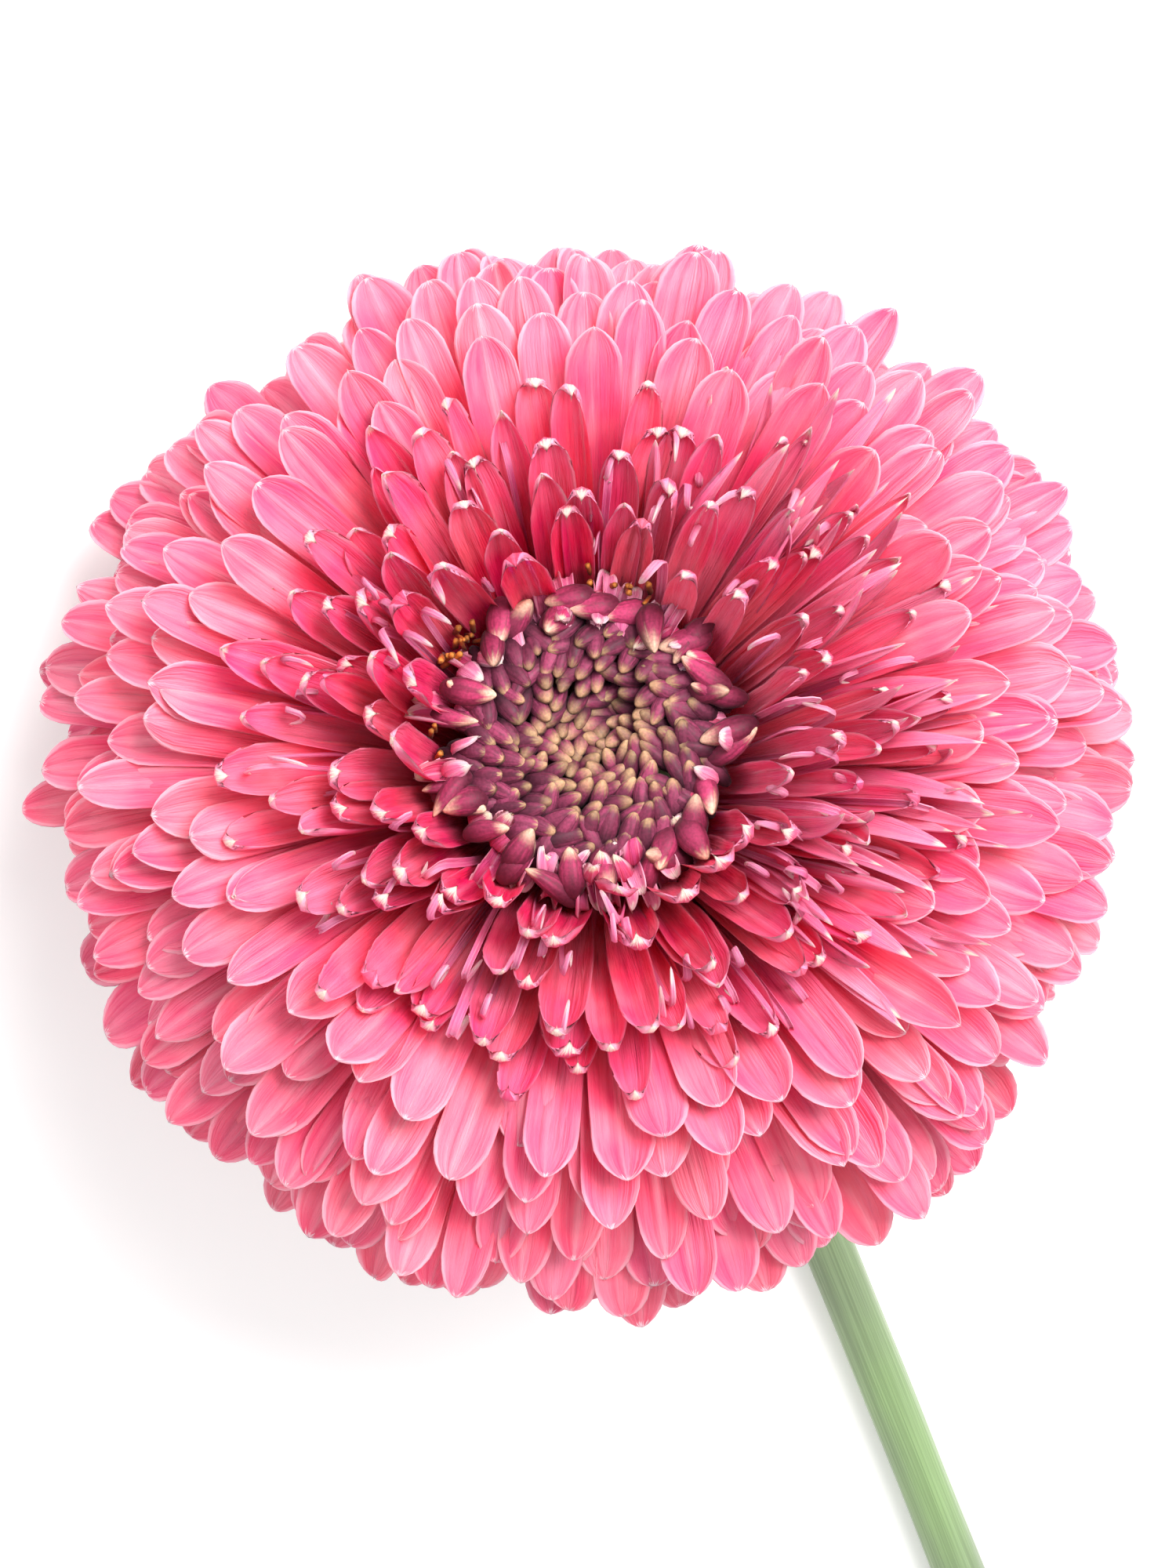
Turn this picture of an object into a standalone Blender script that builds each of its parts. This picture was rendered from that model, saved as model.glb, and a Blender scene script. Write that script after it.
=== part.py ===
"""Cut gerbera of the fully double kind, lying on a flat surface.

The stem lies along -Y with its cut end at -Y. Its neck bends up, so that the head faces up and leans
towards +Y, where the lowest petals rest on the surface. +Z is up and z = 0 is the surface.

The head has a frame of its own: the axis W points out of the flower's face, and U and V span the plane
across it. Each ring of petals is one curve in the half plane (rho, w), turned about W.
"""
import math

import bpy
import numpy as np
from mathutils import Vector

MM = 0.001

# Stem
STEM_LENGTH = 300 * MM
STEM_TOP_RADIUS = 2.7 * MM
STEM_CUT_RADIUS = 3.4 * MM
STEM_SWAY = 6 * MM
STEM_SWAY_START = 55 * MM
STEM_ARC_POINTS = 16
STEM_RUN_POINTS = 26
STEM_BEVEL_RESOLUTION = 4

# Head: the tips of all petals lie on a dome, flatter in front of its widest circle than behind it
HEAD_TILT = math.radians(30)
HEAD_HEIGHT = 33 * MM
DOME_RADIUS = 55 * MM
DOME_RISE = 28 * MM
DOME_DEPTH = 34 * MM
PETAL_THICKNESS = 0.55 * MM
SEAT_GAP = 0.3 * MM
TURN_STEPS = 24

# Receptacle: half an ellipse above its widest circle, and a deeper one below that ends in the neck
RECEPTACLE_RADIUS = 14 * MM
RECEPTACLE_WAIST = -3 * MM
RECEPTACLE_RISE = 6.5 * MM
RECEPTACLE_DEPTH = 12 * MM
NECK_ANGLE = math.radians(-76)

# Eye of unopened florets: (rho, w) from the middle of its hollow, over the rim and down to its foot
EYE_PROFILE_MM = (
    (0, 15.8), (4, 16.4), (8, 18.2), (11, 18.4), (13.4, 17), (14, 15.2),
    (12.6, 12), (11, 9), (9.6, 6.2), (8.2, 3.9), (0, 3.9),
)

# A petal's foot moves down the receptacle, and its first rise flattens, as its tip moves down the dome.
# Each angle is a straight line over the tip's angle from the head's axis, all in degrees.
FIRST_TIP = 19
FIRST_SEAT = 46
SEAT_PER_TIP = 0.6
FIRST_RISE = 66
RISE_PER_TIP = 0.6

# Rings of florets, inner to outer: name, count, tip angle, greatest half width in mm
FLORET_RINGS = (
    ("inner_florets", 22, 25, 2.1),
    ("middle_florets", 24, 34, 2.3),
    ("outer_florets", 26, 43, 2.5),
)
# Rows of long petals, front to back
RAY_ROWS = (
    ("ray_front", 12, 57, 4.6),
    ("ray_middle", 12, 72, 4.8),
    ("ray_back", 12, 90, 4.8),
    ("ray_under", 12, 110, 4.7),
)
# Rings of bracts: name, count, seat angle, rise angle, tip (rho, w) in mm, greatest half width in mm
BRACT_RINGS = (
    ("inner_bracts", 16, -40, 30, (24, -8.6), 1.9),
    ("outer_bracts", 13, -57, 12, (18, -13.4), 1.9),
)
CHANNEL_DEPTH = 0.8 * MM
RAY_STATIONS = (0, 0.14, 0.3, 0.48, 0.66, 0.82, 0.93, 1)
FLORET_STATIONS = (0, 0.16, 0.5, 0.8, 1)
COLLAR_FACES = 1
WIDEST_AT = 0.64
BASE_WIDTH = 0.3
LENGTH_VARIATION = 0.03
RANDOM_SEED = 7

# Base colours (linear) and roughness
STEM_GREEN = (0.17, 0.27, 0.13)
BRACT_GREEN = (0.15, 0.24, 0.09)
FLESH_GREEN = (0.33, 0.42, 0.2)
EYE_MAUVE = (0.27, 0.09, 0.14)
CRIMSON = (0.45, 0.05, 0.09)
PINK = (0.86, 0.2, 0.32)
DUSKY_PINK = (0.68, 0.14, 0.22)
COLOURS = {
    "inner_florets": CRIMSON,
    "middle_florets": CRIMSON,
    "outer_florets": CRIMSON,
    "inner_bracts": BRACT_GREEN,
    "outer_bracts": BRACT_GREEN,
    "ray_front": PINK,
    "ray_middle": PINK,
    "ray_back": PINK,
    "ray_under": DUSKY_PINK,
}
PETAL_ROUGHNESS = 0.6
GREEN_ROUGHNESS = 0.55


def clear_scene():
    """Remove every object that the scene starts with."""
    for old in list(bpy.data.objects):
        bpy.data.objects.remove(old, do_unlink=True)


def paint(piece, colour, roughness):
    """Give the piece a material of its own."""
    material = bpy.data.materials.new(piece.name)
    material.use_nodes = True
    shader = material.node_tree.nodes["Principled BSDF"]
    shader.inputs["Base Color"].default_value = (*colour, 1)
    shader.inputs["Roughness"].default_value = roughness
    shader.inputs["Metallic"].default_value = 0
    piece.data.materials.append(material)


def place(name, data, parent, collection):
    """Link a new object under its parent."""
    piece = bpy.data.objects.new(name, data)
    piece.parent = parent
    collection.objects.link(piece)
    return piece


def receptacle_point(angle):
    """Point (rho, w) on the receptacle's meridian, from +90 degrees at its top to -90 below."""
    height = RECEPTACLE_RISE if angle > 0 else RECEPTACLE_DEPTH
    return np.array([
        RECEPTACLE_RADIUS * math.cos(angle),
        RECEPTACLE_WAIST + height * math.sin(angle),
    ])


def seat_point(angle, rise):
    """Foot of a petal's middle line, clear of the receptacle by the seat gap along its normal."""
    height = RECEPTACLE_RISE if angle > 0 else RECEPTACLE_DEPTH
    normal = np.array([height * math.cos(angle), RECEPTACLE_RADIUS * math.sin(angle)])
    normal /= np.linalg.norm(normal)
    across = np.array([-math.sin(rise), math.cos(rise)])
    edge = 0.5 * PETAL_THICKNESS * abs(across @ normal)
    return receptacle_point(angle) + normal * (SEAT_GAP + edge)


def dome_point(tip_angle):
    """Point (rho, w) of the dome of tips at that angle from the head's axis."""
    height = DOME_RISE if tip_angle < 90 else DOME_DEPTH
    angle = math.radians(tip_angle)
    return np.array([DOME_RADIUS * math.sin(angle), height * math.cos(angle)])


def petal_line(tip_angle, stretch, stations):
    """Middle line of a floret or ray petal whose tip is at that angle on the dome."""
    seat_angle = FIRST_SEAT - SEAT_PER_TIP * (tip_angle - FIRST_TIP)
    rise_angle = FIRST_RISE - RISE_PER_TIP * (tip_angle - FIRST_TIP)
    return meridian(seat_angle, rise_angle, dome_point(tip_angle), stretch, stations)


def meridian(seat_angle, rise_angle, tip, stretch, stations):
    """Quadratic Bezier from the seat to the tip: positions (rho, w) and unit normals to the face side."""
    rise = math.radians(rise_angle)
    start = seat_point(math.radians(seat_angle), rise)
    tip = start + (tip - start) * stretch
    reach = 0.5 * np.linalg.norm(tip - start)
    knee = start + reach * np.array([math.cos(rise), math.sin(rise)])
    t = np.array(stations)[:, None]
    points = (1 - t) ** 2 * start + 2 * t * (1 - t) * knee + t ** 2 * tip
    tangents = 2 * (1 - t) * (knee - start) + 2 * t * (tip - knee)
    tangents /= np.linalg.norm(tangents, axis=1)[:, None]
    normals = np.stack([-tangents[:, 1], tangents[:, 0]], axis=1)
    return points, normals


def width_share(stations):
    """Half width along a petal, as a share of the greatest: widest past the middle, with a blunt tip."""
    s = np.array(stations)
    rising = BASE_WIDTH + (1 - BASE_WIDTH) * np.sin(0.5 * math.pi * np.minimum(s / WIDEST_AT, 1))
    closing = np.clip((s - WIDEST_AT) / (1.06 * (1 - WIDEST_AT)), 0, 1)
    return rising * np.sqrt(1 - closing ** 2)


def petal_points(azimuth, line, half_widths, channel, stations):
    """Grid (station, 3, xyz) of one petal's middle surface: left edge, middle, right edge."""
    points, normals = line
    side = np.array([-1, 0, 1])
    lift = channel * np.array(stations)[:, None] * (side ** 2)[None, :]
    rho = points[:, :1] + normals[:, :1] * lift
    w = points[:, 1:] + normals[:, 1:] * lift
    turn = azimuth + half_widths[:, None] * side / points[:, :1]
    return np.stack([rho * np.cos(turn), rho * np.sin(turn), w], axis=2)


def rest_on_surface(points):
    """Bend the stretch of a petal that would dip below the surface, so that it lies on it."""
    height = HEAD_HEIGHT + points[..., 2] * math.cos(HEAD_TILT) - points[..., 1] * math.sin(HEAD_TILT)
    missing = np.maximum(PETAL_THICKNESS - height, 0)
    lifted = points.copy()
    lifted[..., 2] += missing * math.cos(HEAD_TILT)
    lifted[..., 1] -= missing * math.sin(HEAD_TILT)
    return lifted


def strip_faces(first, rows, columns, stride, wrap):
    """Quads of a grid whose vertices are numbered row by row, from vertex first on."""
    return [
        (
            first + row * stride + column,
            first + row * stride + (column + 1) % wrap,
            first + (row + 1) * stride + (column + 1) % wrap,
            first + (row + 1) * stride + column,
        )
        for row in rows
        for column in columns
    ]


def sheet_piece(name, points, faces, parent, collection):
    """Thin closed solid from an open surface of quads."""
    mesh = bpy.data.meshes.new(name)
    mesh.from_pydata([tuple(point) for point in points.reshape(-1, 3)], [], faces)
    mesh.update()
    mesh.shade_smooth()
    piece = place(name, mesh, parent, collection)
    thicken = piece.modifiers.new("thickness", "SOLIDIFY")
    thicken.thickness = PETAL_THICKNESS
    thicken.offset = 0
    return piece


def turned_piece(name, profile, parent, collection):
    """Closed solid turned about W from a profile that runs down its outer side."""
    mesh = bpy.data.meshes.new(name)
    edges = [(i, i + 1) for i in range(len(profile) - 1)]
    mesh.from_pydata([(rho, 0, w) for rho, w in profile], edges, [])
    piece = place(name, mesh, parent, collection)
    turn = piece.modifiers.new("turn", "SCREW")
    turn.steps = TURN_STEPS
    turn.render_steps = TURN_STEPS
    turn.use_merge_vertices = True
    turn.merge_threshold = 0.00001
    return piece


def make_receptacle(head, collection):
    """Fleshy cushion that every floret stands on, narrowing to the neck."""
    angles = np.concatenate([
        np.linspace(0.5 * math.pi, 0, 7),
        np.linspace(0, NECK_ANGLE, 8)[1:],
    ])
    profile = [tuple(receptacle_point(angle)) for angle in angles]
    profile[0] = (0, profile[0][1])
    profile.append((0, profile[-1][1]))
    piece = turned_piece("receptacle", profile, head, collection)
    paint(piece, FLESH_GREEN, GREEN_ROUGHNESS)


def make_eye(head, collection):
    """Button of unopened disc florets, sunken in the middle."""
    profile = [(rho * MM, w * MM) for rho, w in EYE_PROFILE_MM]
    piece = turned_piece("disc_florets", profile, head, collection)
    paint(piece, EYE_MAUVE, PETAL_ROUGHNESS)


def make_ring(name, count, line, half_width, channel, head, collection):
    """One ring of short florets or bracts, joined at their feet in a narrow collar."""
    room = 0.42 * 2 * math.pi * line[0][:, 0] / count
    half_widths = np.minimum(half_width * MM * width_share(FLORET_STATIONS), room)
    ring = [
        petal_points(2 * math.pi * i / count, line, half_widths, channel, FLORET_STATIONS)
        for i in range(count)
    ]
    points = np.concatenate(ring, axis=1)
    columns = 3 * count
    blades = [column for column in range(columns) if column % 3 != 2]
    slits = [column for column in range(columns) if column % 3 == 2]
    rows = range(len(FLORET_STATIONS) - 1)
    faces = strip_faces(0, rows, blades, columns, columns)
    faces += strip_faces(0, range(COLLAR_FACES), slits, columns, columns)
    piece = sheet_piece(name, points, faces, head, collection)
    paint(piece, COLOURS[name], PETAL_ROUGHNESS)


def make_ray_row(row, row_number, head, collection, rng):
    """One row of long ray petals, each a piece of its own."""
    name, count, tip_angle, half_width = row
    half_widths = half_width * MM * width_share(RAY_STATIONS)
    faces = strip_faces(0, range(len(RAY_STATIONS) - 1), range(2), 3, 3)
    for i in range(count):
        stretch = 1 + LENGTH_VARIATION * rng.uniform(-1, 0.5)
        line = petal_line(tip_angle, stretch, RAY_STATIONS)
        azimuth = 2 * math.pi * (i + row_number / len(RAY_ROWS)) / count
        points = petal_points(azimuth, line, half_widths, CHANNEL_DEPTH, RAY_STATIONS)
        piece = sheet_piece(f"{name}_{i + 1:02d}", rest_on_surface(points), faces, head, collection)
        paint(piece, COLOURS[name], PETAL_ROUGHNESS)


def stem_route():
    """Centre line and radius of the stem, from the neck down to the surface and along it to the cut."""
    neck_w = receptacle_point(NECK_ANGLE)[1] - SEAT_GAP
    start_y = neck_w * math.sin(HEAD_TILT)
    start_z = HEAD_HEIGHT + neck_w * math.cos(HEAD_TILT)
    dive = 0.5 * math.pi - HEAD_TILT
    bend_radius = (start_z - STEM_TOP_RADIUS) / (1 - math.cos(dive))
    bend_length = bend_radius * dive
    bend = np.linspace(0, bend_length, STEM_ARC_POINTS)
    run = np.linspace(bend_length, STEM_LENGTH, STEM_RUN_POINTS)[1:]
    length = np.concatenate([bend, run])
    turn = np.minimum(length, bend_length) / bend_radius
    along_run = np.maximum(length - bend_length, 0)
    y = start_y - bend_radius * (math.sin(dive) - np.sin(dive - turn)) - along_run
    arc_z = start_z - bend_radius * (np.cos(dive - turn) - math.cos(dive))
    share = along_run / (STEM_LENGTH - bend_length)
    radius = STEM_TOP_RADIUS + (STEM_CUT_RADIUS - STEM_TOP_RADIUS) * share
    z = arc_z + radius - STEM_TOP_RADIUS
    outward = np.cos(math.pi * np.minimum(length / STEM_SWAY_START, 1))
    x = STEM_SWAY * 0.5 * (np.cos(math.pi * share) - outward)
    return np.stack([x, y, z], axis=1), radius


def make_stem(root, collection):
    """Leafless round stem, thicker towards its cut end."""
    points, radius = stem_route()
    curve = bpy.data.curves.new("stem", "CURVE")
    curve.dimensions = "3D"
    curve.bevel_depth = STEM_TOP_RADIUS
    curve.bevel_resolution = STEM_BEVEL_RESOLUTION
    curve.use_fill_caps = True
    spline = curve.splines.new("POLY")
    spline.points.add(len(points) - 1)
    for control, point, size in zip(spline.points, points, radius):
        control.co = (*point, 1)
        control.radius = size / STEM_TOP_RADIUS
    piece = place("stem", curve, root, collection)
    paint(piece, STEM_GREEN, GREEN_ROUGHNESS)


def centre_on_origin(root, collection):
    """Move the whole flower so that the origin is the middle of its box, on the surface."""
    bpy.context.view_layer.update()
    graph = bpy.context.evaluated_depsgraph_get()
    lowest = Vector((1, 1, 1))
    highest = Vector((-1, -1, -1))
    for piece in collection.objects:
        if piece.type == "EMPTY":
            continue
        shape = piece.evaluated_get(graph)
        solid = shape.to_mesh()
        for vertex in solid.vertices:
            spot = shape.matrix_world @ vertex.co
            lowest = Vector(map(min, lowest, spot))
            highest = Vector(map(max, highest, spot))
        shape.to_mesh_clear()
    middle = 0.5 * (lowest + highest)
    root.location = (-middle.x, -middle.y, -lowest.z)


def build():
    """Make the whole flower."""
    clear_scene()
    collection = bpy.data.collections.new("cut_gerbera")
    bpy.context.scene.collection.children.link(collection)
    root = place("gerbera_origin", None, None, collection)
    head = place("head_origin", None, root, collection)
    head.location = (0, 0, HEAD_HEIGHT)
    head.rotation_euler = (-HEAD_TILT, 0, 0)
    rng = np.random.default_rng(RANDOM_SEED)
    make_stem(root, collection)
    make_receptacle(head, collection)
    make_eye(head, collection)
    for name, count, tip_angle, half_width in FLORET_RINGS:
        line = petal_line(tip_angle, 1, FLORET_STATIONS)
        make_ring(name, count, line, half_width, CHANNEL_DEPTH, head, collection)
    for name, count, seat_angle, rise_angle, tip_mm, half_width in BRACT_RINGS:
        line = meridian(seat_angle, rise_angle, np.array(tip_mm) * MM, 1, FLORET_STATIONS)
        make_ring(name, count, line, half_width, 0, head, collection)
    for row_number, row in enumerate(RAY_ROWS):
        make_ray_row(row, row_number, head, collection, rng)
    centre_on_origin(root, collection)


build()
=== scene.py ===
"""Looks of a cut gerbera of the fully double kind, lying face up on its stem.

Everything on the head is worked out in the head's own frame: W points out of the flower's face, U and V
span the plane across it, and a petal's middle line lies in a half plane (rho, w) turned about W. Florets
are numbered outwards from the eye, each a golden angle on from the last.
"""
import math

import bpy
import numpy as np
from bpy.props import FloatProperty, FloatVectorProperty, IntProperty, PointerProperty
from mathutils import Matrix, Vector


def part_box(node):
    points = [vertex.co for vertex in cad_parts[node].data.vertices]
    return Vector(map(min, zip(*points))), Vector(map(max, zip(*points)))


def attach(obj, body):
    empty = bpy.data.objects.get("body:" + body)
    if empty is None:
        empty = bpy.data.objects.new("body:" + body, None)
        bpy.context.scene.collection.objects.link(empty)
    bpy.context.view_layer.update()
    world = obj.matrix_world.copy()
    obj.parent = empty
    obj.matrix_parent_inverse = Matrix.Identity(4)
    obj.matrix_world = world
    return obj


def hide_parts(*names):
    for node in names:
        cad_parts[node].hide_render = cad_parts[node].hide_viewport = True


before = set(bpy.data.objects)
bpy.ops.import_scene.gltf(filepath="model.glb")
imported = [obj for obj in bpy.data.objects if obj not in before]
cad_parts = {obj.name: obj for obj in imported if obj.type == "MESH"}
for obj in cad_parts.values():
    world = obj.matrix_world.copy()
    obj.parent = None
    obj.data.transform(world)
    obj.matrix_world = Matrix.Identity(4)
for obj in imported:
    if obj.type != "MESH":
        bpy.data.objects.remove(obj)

bl_info = {
    "name": "Cut gerbera",
    "version": (1, 0, 0),
    "blender": (4, 5, 0),
    "location": "3D View > Sidebar > Gerbera",
    "description": "Builds the petals, florets, eye, bracts and stem of a double gerbera",
    "category": "Object",
}

MM = 0.001
DEGREE = math.pi / 180
GOLDEN_ANGLE = math.pi * (3 - math.sqrt(5))
# The axis W in the head's own frame
UP = np.array([0.0, 0.0, 1.0])

# Receptacle and dome of petal tips, as in the construction
RECEPTACLE_RADIUS = 14 * MM
RECEPTACLE_WAIST = -3 * MM
RECEPTACLE_RISE = 6.5 * MM
RECEPTACLE_DEPTH = 12 * MM
NECK_ANGLE = -76 * DEGREE
SEAT_GAP = 0.3 * MM
DOME_RADIUS = 55 * MM
DOME_RISE = 28 * MM
DOME_DEPTH = 34 * MM
# Where the innermost florets end and stand, in degrees, and how both angles change with the tip's
FIRST_TIP = 19
FIRST_SEAT = 46
SEAT_PER_TIP = 0.6
FIRST_RISE = 66
RISE_PER_TIP = 0.6

# Section of a petal: the grooves' place and spread as shares of its half width, and waves along it
GROOVE_PLACE = 0.31
GROOVE_SPREAD = 0.17
RIPPLES = 2.6
LEAST_WIDTH = 0.0004
SETTLE = 1.2 * MM

# Directions round the head in which the florets stand loose and the needle florets grow
LOOSE_SIDE = -8 * DEGREE
NEEDLE_SIDE = (-68 * DEGREE, 46 * DEGREE)


def node_points(name):
    """Vertices of a CAD node as an array."""
    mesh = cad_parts[name].data
    points = np.empty(len(mesh.vertices) * 3, np.float32)
    mesh.vertices.foreach_get("co", points)
    return points.reshape(-1, 3).astype(float)


def find_head():
    """Origin and the axes U, V, W of the head, from the receptacle and the eye, which are turned about W.

    W runs from the receptacle's middle to the eye's. The receptacle's widest circle gives the height."""
    cushion = node_points("receptacle")
    eye_middle = node_points("disc_florets").mean(0)
    w_axis = eye_middle - cushion.mean(0)
    w_axis /= np.linalg.norm(w_axis)
    away = cushion - eye_middle
    along = away @ w_axis
    radius = np.linalg.norm(away - along[:, None] * w_axis, axis=1)
    waist = along[radius > 0.999 * radius.max()].mean()
    origin = eye_middle + w_axis * (waist - RECEPTACLE_WAIST)
    u_axis = np.array([1.0, 0.0, 0.0])
    v_axis = np.cross(w_axis, u_axis)
    return origin, u_axis, v_axis, w_axis


HEAD_ORIGIN, HEAD_U, HEAD_V, HEAD_W = find_head()
HEAD_AXES = np.stack([HEAD_U, HEAD_V, HEAD_W])
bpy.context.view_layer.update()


# ---------------------------------------------------------------- shapes


def head_to_world(points):
    """Points of the head's frame in the row's frame: the origin plus each axis by its coordinate."""
    return HEAD_ORIGIN + points @ HEAD_AXES


def polar(rho, azimuth, w):
    """Points of the head's frame at a distance rho from the axis W and a height w along it."""
    return np.stack(np.broadcast_arrays(rho * np.cos(azimuth), rho * np.sin(azimuth), w), axis=-1)


def smoothstep(value, low, high):
    """0 below low, 1 above high, and a cubic with flat ends between them."""
    t = np.clip((value - low) / (high - low), 0, 1)
    return t * t * (3 - 2 * t)


def seat_points(seat_angle):
    """Feet (rho, w) on the receptacle's ellipse at an angle in radians, lifted along its normal."""
    height = np.where(seat_angle > 0, RECEPTACLE_RISE, RECEPTACLE_DEPTH)
    foot = np.stack([
        RECEPTACLE_RADIUS * np.cos(seat_angle),
        RECEPTACLE_WAIST + height * np.sin(seat_angle),
    ], axis=-1)
    normal = np.stack([
        height * np.cos(seat_angle),
        RECEPTACLE_RADIUS * np.sin(seat_angle),
    ], axis=-1)
    normal /= np.linalg.norm(normal, axis=-1)[..., None]
    return foot + SEAT_GAP * normal


def dome_points(tip_angle):
    """Points (rho, w) of the dome of tips: an ellipse, flatter before its widest circle than behind it."""
    angle = tip_angle * DEGREE
    height = np.where(tip_angle < 90, DOME_RISE, DOME_DEPTH)
    return np.stack([DOME_RADIUS * np.sin(angle), height * np.cos(angle)], axis=-1)


def middle_lines(start, rise, tip, curl, curl_from, stations):
    """Middle lines (rho, w, heading), one row for each petal.

    A quadratic Bezier leaves start at the angle rise and ends at tip. Its steps are then laid end to end
    again with their headings turned by curl, which grows from curl_from to the end."""
    reach = 0.5 * np.linalg.norm(tip - start, axis=1)
    knee = start + reach[:, None] * np.stack([np.cos(rise), np.sin(rise)], axis=1)
    t = stations[None, :, None]
    route = (1 - t) ** 2 * start[:, None] + 2 * t * (1 - t) * knee[:, None] + t ** 2 * tip[:, None]
    steps = np.diff(route, axis=1)
    lengths = np.linalg.norm(steps, axis=2)
    turning = curl * smoothstep(stations, curl_from, 1)
    headings = np.arctan2(steps[..., 1], steps[..., 0]) + 0.5 * (turning[:, 1:] + turning[:, :-1])
    rho = start[:, :1] + np.cumsum(lengths * np.cos(headings), axis=1)
    w = start[:, 1:] + np.cumsum(lengths * np.sin(headings), axis=1)
    rho = np.concatenate([start[:, :1], rho], axis=1)
    w = np.concatenate([start[:, 1:], w], axis=1)
    inner = 0.5 * (headings[:, 1:] + headings[:, :-1])
    heading = np.concatenate([headings[:, :1], inner, headings[:, -1:]], axis=1)
    return rho, w, heading


def section_loop(top_count, under_count):
    """Closed loop round a petal's section: across (-1 to 1 and back) and side (1 on top, -1 below).

    The places across are cosines of equal angles, so they crowd towards both edges."""
    top = -np.cos(np.linspace(0, math.pi, top_count))
    under = np.cos(np.linspace(0, math.pi, under_count + 2))[1:-1]
    across = np.concatenate([top, under])
    side = np.concatenate([np.ones(top_count), -np.ones(under_count)])
    side[[0, top_count - 1]] = 0
    return across, side


def strap_points(line, azimuth, half_width, across, height, roll, bend, push):
    """Points (petal, station, loop, xyz) of straps in the head's frame.

    Each section stands square to the middle line: across times the half width to the side, height along
    the normal, turned by roll about the line. bend shifts a section sideways and push along the line."""
    rho, w, heading = line
    e_rho = polar(1, azimuth, 0)[:, None, :]
    e_side = np.cross(UP, e_rho)
    cosine = np.cos(heading)[..., None]
    sine = np.sin(heading)[..., None]
    forward = cosine * e_rho + sine * UP
    normal = cosine * UP - sine * e_rho
    cos_roll = np.cos(roll)[..., None]
    sin_roll = np.sin(roll)[..., None]
    side_rolled = cos_roll * e_side + sin_roll * normal
    normal_rolled = cos_roll * normal - sin_roll * e_side
    centre = rho[..., None] * e_rho + w[..., None] * UP + bend[..., None] * e_side
    sideways = (half_width[..., None] * across)[..., None] * side_rolled[:, :, None, :]
    upwards = height[..., None] * normal_rolled[:, :, None, :]
    along = push[..., None] * forward[:, :, None, :]
    return centre[:, :, None, :] + sideways + upwards + along


def rest_on_surface(points, floor):
    """World points of straps: each section that would dip below its floor is lifted onto it whole.

    The lift is half the sum of the missing height m and the root of m^2 + SETTLE^2: a smooth maximum of m
    and 0, left out where the section is far above its floor."""
    world = head_to_world(points)
    missing = (floor - world[..., 2]).max(axis=2)
    lift = 0.5 * (missing + np.sqrt(missing ** 2 + SETTLE ** 2)) * (missing > -8 * SETTLE)
    world[..., 2] += lift[:, :, None]
    return world


def tube_points(route, forward, radius):
    """Points of one tube, shape (1, station, loop, xyz), with circles square to forward on the route."""
    side = np.array([1.0, 0, 0]) - forward[:, :1] * forward
    side /= np.linalg.norm(side, axis=1)[:, None]
    third = np.cross(forward, side)
    turn = -2 * math.pi * np.arange(radius.shape[1]) / radius.shape[1]
    ring = np.cos(turn)[None, :, None] * side[:, None, :] + np.sin(turn)[None, :, None] * third[:, None, :]
    return (route[:, None, :] + radius[..., None] * ring)[None]


def closed_mesh(name, points, paint):
    """Mesh of closed solids from grids (solid, station, loop, xyz): quads along, and a cap at each end.

    paint (solid, station, loop, 4) is kept as the point attribute bloom: place across, place along, tone
    and shade."""
    solids, stations, loop = points.shape[:3]
    number = np.arange(solids * stations * loop).reshape(solids, stations, loop)
    following = np.roll(number, -1, axis=2)
    quads = np.stack([number[:, :-1], number[:, 1:], following[:, 1:], following[:, :-1]], axis=-1)
    quads = quads.reshape(-1, 4)
    caps = np.concatenate([number[:, 0], number[:, -1, ::-1]])
    corners = np.concatenate([quads.ravel(), caps.ravel()])
    sizes = np.concatenate([np.full(len(quads), 4), np.full(len(caps), loop)])
    starts = np.concatenate([[0], np.cumsum(sizes)[:-1]])
    mesh = bpy.data.meshes.new(name)
    mesh.vertices.add(number.size)
    mesh.vertices.foreach_set("co", points.reshape(-1).astype(np.float32))
    mesh.loops.add(len(corners))
    mesh.loops.foreach_set("vertex_index", corners.astype(np.int32))
    mesh.polygons.add(len(sizes))
    mesh.polygons.foreach_set("loop_start", starts.astype(np.int32))
    mesh.update(calc_edges=True)
    mesh.polygons.foreach_set("use_smooth", np.ones(len(sizes), bool))
    layer = mesh.attributes.new("bloom", "FLOAT_COLOR", "POINT")
    colours_at_points = np.broadcast_to(paint, points.shape[:3] + (4,))
    layer.data.foreach_set("color", colours_at_points.astype(np.float32).ravel())
    mesh.validate()
    return mesh


def add_piece(name, points, paint, material, nodes=()):
    """New piece of the flower that rides on the root body and stands for the named CAD nodes."""
    piece = bpy.data.objects.new(name, closed_mesh(name, points, paint))
    bpy.context.scene.collection.objects.link(piece)
    piece.data.materials.append(material)
    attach(piece, "root")
    if nodes:
        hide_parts(*nodes)


def bloom_paint(across, stations, tone, shade):
    """Values of the bloom attribute for straps: across and along on the grid, tone and shade by petal."""
    shape = (len(tone), len(stations), across.shape[-1])
    place_across = np.broadcast_to(0.5 * (across + 1), shape)
    place_along = np.broadcast_to(stations[None, :, None], shape)
    tones = np.broadcast_to(tone[:, None, None], shape)
    shades = np.broadcast_to(shade, shape)
    return np.stack([place_across, place_along, tones, shades], axis=-1)


# ---------------------------------------------------------------- finishes


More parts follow.
